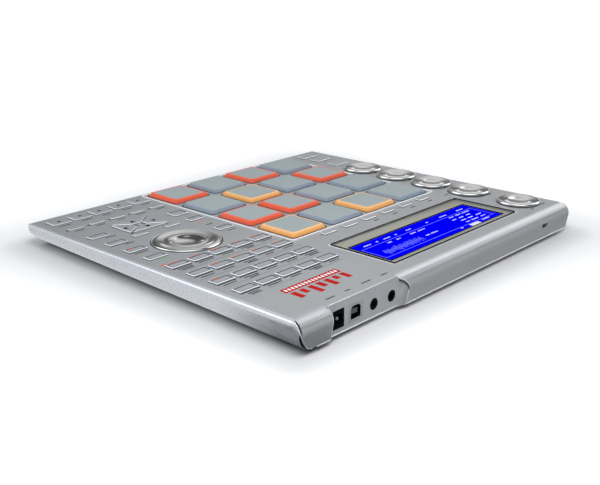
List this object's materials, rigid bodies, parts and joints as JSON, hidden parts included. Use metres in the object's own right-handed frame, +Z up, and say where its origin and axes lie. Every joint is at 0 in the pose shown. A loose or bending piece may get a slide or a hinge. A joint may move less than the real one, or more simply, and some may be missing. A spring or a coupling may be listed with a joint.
{
  "type": "midi pad controller",
  "caption": "Flat wedge-shaped midi pad controller: lit square pads, dished knobs, a jog wheel, push keys and a blue display in a silver case with rear sockets.",
  "frame": {"origin": "centre of the bounding box, on the desk under the feet", "axes": "+Z up, +X the user's right, +Y the rear edge with the sockets; the deck slopes up to the rear by 1.34 degrees"},
  "size_m": [0.292, 0.25, 0.0242],
  "materials": {
    "satin_silver": "satin bead-blasted silver",
    "cheek_silver": "satin silver",
    "tub_black": "fine moulded texture",
    "pad_rubber": "matte translucent silicone, lit at the rim",
    "chrome": "polished",
    "key_silver": "satin silver paint",
    "bezel_grey": "satin warm grey",
    "lens": "clear",
    "display_blue": "backlit display",
    "board": "solder mask",
    "mat_rubber": "matte",
    "sensor_film": "film",
    "encoder_metal": "plated",
    "socket_black": "satin",
    "socket_steel": "plated",
    "foot_rubber": "matte",
    "screw_steel": "black zinc"
  },
  "bodies": {
    "case": {"top_panel": "satin_silver", "right_cheek": "cheek_silver", "left_cheek": "cheek_silver", "base_tub": "tub_black", "display_bezel": "bezel_grey", "display_lens": "lens", "display_module": "display_blue", "key_board": "board", "switch_mat": "mat_rubber", "pad_sensor_sheet": "sensor_film", "knob_encoders": "encoder_metal", "wheel_encoder": "encoder_metal", "main_board": "board", "power_socket": "socket_black", "usb_socket": "socket_steel", "midi_in_jack": "socket_black", "midi_out_jack": "socket_black", "feet": "foot_rubber", "case_screws": "screw_steel"},
    "pad_1": {"pad_1": "pad_rubber"},
    "pad_2": {"pad_2": "pad_rubber"},
    "pad_3": {"pad_3": "pad_rubber"},
    "pad_4": {"pad_4": "pad_rubber"},
    "pad_5": {"pad_5": "pad_rubber"},
    "pad_6": {"pad_6": "pad_rubber"},
    "pad_7": {"pad_7": "pad_rubber"},
    "pad_8": {"pad_8": "pad_rubber"},
    "pad_9": {"pad_9": "pad_rubber"},
    "pad_10": {"pad_10": "pad_rubber"},
    "pad_11": {"pad_11": "pad_rubber"},
    "pad_12": {"pad_12": "pad_rubber"},
    "pad_13": {"pad_13": "pad_rubber"},
    "pad_14": {"pad_14": "pad_rubber"},
    "pad_15": {"pad_15": "pad_rubber"},
    "pad_16": {"pad_16": "pad_rubber"},
    "knob_1": {"knob_1": "chrome"},
    "knob_2": {"knob_2": "chrome"},
    "knob_3": {"knob_3": "chrome"},
    "knob_4": {"knob_4": "chrome"},
    "main_knob": {"main_knob": "chrome"},
    "jog_wheel": {"jog_wheel": "chrome"},
    "arrow_left_key": {"arrow_left_key": "key_silver"},
    "arrow_right_key": {"arrow_right_key": "key_silver"},
    "arrow_up_key": {"arrow_up_key": "key_silver"},
    "arrow_down_key": {"arrow_down_key": "key_silver"},
    "transport_key_1": {"transport_key_1": "key_silver"},
    "transport_key_2": {"transport_key_2": "key_silver"},
    "transport_key_3": {"transport_key_3": "key_silver"},
    "transport_key_4": {"transport_key_4": "key_silver"},
    "transport_key_5": {"transport_key_5": "key_silver"},
    "track_keys": {"track_keys": "key_silver"},
    "page_keys": {"page_keys": "key_silver"},
    "edge_keys": {"edge_keys": "key_silver"},
    "field_keys": {"field_keys": "key_silver"},
    "function_keys": {"function_keys": "key_silver"},
    "corner_keys": {"corner_keys": "key_silver"},
    "block_row_1": {"block_row_1": "key_silver"},
    "block_row_2": {"block_row_2": "key_silver"},
    "block_row_3": {"block_row_3": "key_silver"},
    "block_row_4": {"block_row_4": "key_silver"}
  },
  "joints": [
    {"name": "pad_1_press", "type": "slide", "parent": "case", "child": "pad_1", "axis": [0, -0.0234, 0.9997], "range_m": [-0.001, 0], "stiffness_N_per_m": 1500, "springref_m": 0.0003},
    {"name": "pad_2_press", "type": "slide", "parent": "case", "child": "pad_2", "axis": [0, -0.0234, 0.9997], "range_m": [-0.001, 0], "stiffness_N_per_m": 1500, "springref_m": 0.0003},
    {"name": "pad_3_press", "type": "slide", "parent": "case", "child": "pad_3", "axis": [0, -0.0234, 0.9997], "range_m": [-0.001, 0], "stiffness_N_per_m": 1500, "springref_m": 0.0003},
    {"name": "pad_4_press", "type": "slide", "parent": "case", "child": "pad_4", "axis": [0, -0.0234, 0.9997], "range_m": [-0.001, 0], "stiffness_N_per_m": 1500, "springref_m": 0.0003},
    {"name": "pad_5_press", "type": "slide", "parent": "case", "child": "pad_5", "axis": [0, -0.0234, 0.9997], "range_m": [-0.001, 0], "stiffness_N_per_m": 1500, "springref_m": 0.0003},
    {"name": "pad_6_press", "type": "slide", "parent": "case", "child": "pad_6", "axis": [0, -0.0234, 0.9997], "range_m": [-0.001, 0], "stiffness_N_per_m": 1500, "springref_m": 0.0003},
    {"name": "pad_7_press", "type": "slide", "parent": "case", "child": "pad_7", "axis": [0, -0.0234, 0.9997], "range_m": [-0.001, 0], "stiffness_N_per_m": 1500, "springref_m": 0.0003},
    {"name": "pad_8_press", "type": "slide", "parent": "case", "child": "pad_8", "axis": [0, -0.0234, 0.9997], "range_m": [-0.001, 0], "stiffness_N_per_m": 1500, "springref_m": 0.0003},
    {"name": "pad_9_press", "type": "slide", "parent": "case", "child": "pad_9", "axis": [0, -0.0234, 0.9997], "range_m": [-0.001, 0], "stiffness_N_per_m": 1500, "springref_m": 0.0003},
    {"name": "pad_10_press", "type": "slide", "parent": "case", "child": "pad_10", "axis": [0, -0.0234, 0.9997], "range_m": [-0.001, 0], "stiffness_N_per_m": 1500, "springref_m": 0.0003},
    {"name": "pad_11_press", "type": "slide", "parent": "case", "child": "pad_11", "axis": [0, -0.0234, 0.9997], "range_m": [-0.001, 0], "stiffness_N_per_m": 1500, "springref_m": 0.0003},
    {"name": "pad_12_press", "type": "slide", "parent": "case", "child": "pad_12", "axis": [0, -0.0234, 0.9997], "range_m": [-0.001, 0], "stiffness_N_per_m": 1500, "springref_m": 0.0003},
    {"name": "pad_13_press", "type": "slide", "parent": "case", "child": "pad_13", "axis": [0, -0.0234, 0.9997], "range_m": [-0.001, 0], "stiffness_N_per_m": 1500, "springref_m": 0.0003},
    {"name": "pad_14_press", "type": "slide", "parent": "case", "child": "pad_14", "axis": [0, -0.0234, 0.9997], "range_m": [-0.001, 0], "stiffness_N_per_m": 1500, "springref_m": 0.0003},
    {"name": "pad_15_press", "type": "slide", "parent": "case", "child": "pad_15", "axis": [0, -0.0234, 0.9997], "range_m": [-0.001, 0], "stiffness_N_per_m": 1500, "springref_m": 0.0003},
    {"name": "pad_16_press", "type": "slide", "parent": "case", "child": "pad_16", "axis": [0, -0.0234, 0.9997], "range_m": [-0.001, 0], "stiffness_N_per_m": 1500, "springref_m": 0.0003},
    {"name": "arrow_left_key_press", "type": "slide", "parent": "case", "child": "arrow_left_key", "axis": [0, -0.0234, 0.9997], "range_m": [-0.0008, 0], "stiffness_N_per_m": 600, "springref_m": 0.0003},
    {"name": "arrow_right_key_press", "type": "slide", "parent": "case", "child": "arrow_right_key", "axis": [0, -0.0234, 0.9997], "range_m": [-0.0008, 0], "stiffness_N_per_m": 600, "springref_m": 0.0003},
    {"name": "arrow_up_key_press", "type": "slide", "parent": "case", "child": "arrow_up_key", "axis": [0, -0.0234, 0.9997], "range_m": [-0.0008, 0], "stiffness_N_per_m": 600, "springref_m": 0.0003},
    {"name": "arrow_down_key_press", "type": "slide", "parent": "case", "child": "arrow_down_key", "axis": [0, -0.0234, 0.9997], "range_m": [-0.0008, 0], "stiffness_N_per_m": 600, "springref_m": 0.0003},
    {"name": "transport_key_1_press", "type": "slide", "parent": "case", "child": "transport_key_1", "axis": [0, -0.0234, 0.9997], "range_m": [-0.0008, 0], "stiffness_N_per_m": 600, "springref_m": 0.0003},
    {"name": "transport_key_2_press", "type": "slide", "parent": "case", "child": "transport_key_2", "axis": [0, -0.0234, 0.9997], "range_m": [-0.0008, 0], "stiffness_N_per_m": 600, "springref_m": 0.0003},
    {"name": "transport_key_3_press", "type": "slide", "parent": "case", "child": "transport_key_3", "axis": [0, -0.0234, 0.9997], "range_m": [-0.0008, 0], "stiffness_N_per_m": 600, "springref_m": 0.0003},
    {"name": "transport_key_4_press", "type": "slide", "parent": "case", "child": "transport_key_4", "axis": [0, -0.0234, 0.9997], "range_m": [-0.0008, 0], "stiffness_N_per_m": 600, "springref_m": 0.0003},
    {"name": "transport_key_5_press", "type": "slide", "parent": "case", "child": "transport_key_5", "axis": [0, -0.0234, 0.9997], "range_m": [-0.0008, 0], "stiffness_N_per_m": 600, "springref_m": 0.0003},
    {"name": "track_keys_press", "type": "slide", "parent": "case", "child": "track_keys", "axis": [0, -0.0234, 0.9997], "range_m": [-0.0008, 0], "stiffness_N_per_m": 600, "springref_m": 0.0003},
    {"name": "page_keys_press", "type": "slide", "parent": "case", "child": "page_keys", "axis": [0, -0.0234, 0.9997], "range_m": [-0.0008, 0], "stiffness_N_per_m": 600, "springref_m": 0.0003},
    {"name": "edge_keys_press", "type": "slide", "parent": "case", "child": "edge_keys", "axis": [0, -0.0234, 0.9997], "range_m": [-0.0008, 0], "stiffness_N_per_m": 600, "springref_m": 0.0003},
    {"name": "field_keys_press", "type": "slide", "parent": "case", "child": "field_keys", "axis": [0, -0.0234, 0.9997], "range_m": [-0.0008, 0], "stiffness_N_per_m": 600, "springref_m": 0.0003},
    {"name": "function_keys_press", "type": "slide", "parent": "case", "child": "function_keys", "axis": [0, -0.0234, 0.9997], "range_m": [-0.0008, 0], "stiffness_N_per_m": 600, "springref_m": 0.0003},
    {"name": "corner_keys_press", "type": "slide", "parent": "case", "child": "corner_keys", "axis": [0, -0.0234, 0.9997], "range_m": [-0.0008, 0], "stiffness_N_per_m": 600, "springref_m": 0.0003},
    {"name": "block_row_1_press", "type": "slide", "parent": "case", "child": "block_row_1", "axis": [0, -0.0234, 0.9997], "range_m": [-0.0008, 0], "stiffness_N_per_m": 600, "springref_m": 0.0003},
    {"name": "block_row_2_press", "type": "slide", "parent": "case", "child": "block_row_2", "axis": [0, -0.0234, 0.9997], "range_m": [-0.0008, 0], "stiffness_N_per_m": 600, "springref_m": 0.0003},
    {"name": "block_row_3_press", "type": "slide", "parent": "case", "child": "block_row_3", "axis": [0, -0.0234, 0.9997], "range_m": [-0.0008, 0], "stiffness_N_per_m": 600, "springref_m": 0.0003},
    {"name": "block_row_4_press", "type": "slide", "parent": "case", "child": "block_row_4", "axis": [0, -0.0234, 0.9997], "range_m": [-0.0008, 0], "stiffness_N_per_m": 600, "springref_m": 0.0003},
    {"name": "knob_1_turn", "type": "hinge", "parent": "case", "child": "knob_1", "pos_m": [-0.1237, -0.04882, 0.01818], "axis": [0, -0.0234, 0.9997], "continuous": true},
    {"name": "knob_2_turn", "type": "hinge", "parent": "case", "child": "knob_2", "pos_m": [-0.1237, -0.01473, 0.01898], "axis": [0, -0.0234, 0.9997], "continuous": true},
    {"name": "knob_3_turn", "type": "hinge", "parent": "case", "child": "knob_3", "pos_m": [-0.1237, 0.01936, 0.01978], "axis": [0, -0.0234, 0.9997], "continuous": true},
    {"name": "knob_4_turn", "type": "hinge", "parent": "case", "child": "knob_4", "pos_m": [-0.1237, 0.05345, 0.02058], "axis": [0, -0.0234, 0.9997], "continuous": true},
    {"name": "main_knob_turn", "type": "hinge", "parent": "case", "child": "main_knob", "pos_m": [-0.1237, 0.09564, 0.02156], "axis": [0, -0.0234, 0.9997], "continuous": true},
    {"name": "jog_wheel_turn", "type": "hinge", "parent": "case", "child": "jog_wheel", "pos_m": [0.0968, -0.01653, 0.01894], "axis": [0, -0.0234, 0.9997], "continuous": true}
  ]
}
